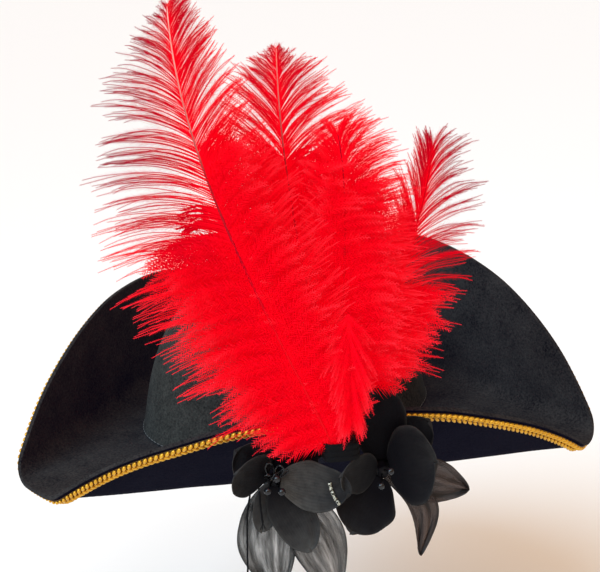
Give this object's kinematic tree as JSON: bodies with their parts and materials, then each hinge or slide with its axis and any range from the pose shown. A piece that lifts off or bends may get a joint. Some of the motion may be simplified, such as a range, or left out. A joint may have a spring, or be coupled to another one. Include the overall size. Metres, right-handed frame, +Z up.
{
  "type": "pirate hat",
  "caption": "Three-cornered felt hat with a domed crown, turned-up flaps, braid along the edge, and a corsage of swaying plumes and cloth flowers on the left flap.",
  "frame": {"origin": "centre of the head opening, level with the underside of the flat brim", "axes": "+Z up, the wearer faces -Y, +X is the wearer's left"},
  "size_m": [0.3927, 0.3274, 0.3444],
  "materials": {
    "felt": "matt wool felt",
    "ribbon": "ribbed ribbon",
    "gold_braid": "metallic thread",
    "tape": "matt tape",
    "plume": "dyed ostrich barbs",
    "quill": "dyed horn",
    "petal": "satin cloth",
    "sheer_petal": "sheer organza",
    "bead": "glossy"
  },
  "bodies": {
    "hat": {"brim": "felt", "crown": "felt", "edge_braid": "gold_braid", "left_flower_calyx": "petal", "left_flower_petal_1": "petal", "left_flower_petal_2": "petal", "left_flower_petal_3": "sheer_petal", "left_flower_petal_4": "sheer_petal", "left_flower_petal_5": "petal", "left_flower_petal_6": "petal", "left_flower_petal_7": "petal", "left_flower_petal_8": "petal", "left_flower_stamen_1": "bead", "left_flower_stamen_2": "bead", "left_flower_stamen_3": "bead", "left_flower_stem": "tape", "plume_wrap": "tape", "right_flower_calyx": "petal", "right_flower_petal_1": "petal", "right_flower_petal_2": "petal", "right_flower_petal_3": "sheer_petal", "right_flower_petal_4": "sheer_petal", "right_flower_petal_5": "petal", "right_flower_petal_6": "petal", "right_flower_petal_7": "petal", "right_flower_stamen_1": "bead", "right_flower_stamen_2": "bead", "right_flower_stem": "tape", "sweatband": "ribbon", "tie_cord": "tape", "tie_knot": "tape", "trim_backing": "felt"},
    "plume_1": {"plume_1_shaft": "quill", "plume_1_vane": "plume"},
    "plume_2": {"plume_2_shaft": "quill", "plume_2_vane": "plume"},
    "plume_3": {"plume_3_shaft": "quill", "plume_3_vane": "plume"},
    "plume_4": {"plume_4_shaft": "quill", "plume_4_vane": "plume"}
  },
  "joints": [
    {"name": "plume_1_sway", "type": "hinge", "parent": "hat", "child": "plume_1", "pos_m": [0.1788, -0.0963, 0.048], "axis": [-0.866, 0.5, 0], "range_deg": [-5, 5], "stiffness_Nm_per_rad": 0.3},
    {"name": "plume_2_sway", "type": "hinge", "parent": "hat", "child": "plume_2", "pos_m": [0.16966, -0.08814, 0.048], "axis": [-0.866, 0.5, 0], "range_deg": [-5, 5], "stiffness_Nm_per_rad": 0.3},
    {"name": "plume_3_sway", "type": "hinge", "parent": "hat", "child": "plume_3", "pos_m": [0.17561, -0.08984, 0.048], "axis": [-0.866, 0.5, 0], "range_deg": [-5, 5], "stiffness_Nm_per_rad": 0.3},
    {"name": "plume_4_sway", "type": "hinge", "parent": "hat", "child": "plume_4", "pos_m": [0.16672, -0.08124, 0.048], "axis": [-0.866, 0.5, 0], "range_deg": [-5, 5], "stiffness_Nm_per_rad": 0.3}
  ]
}
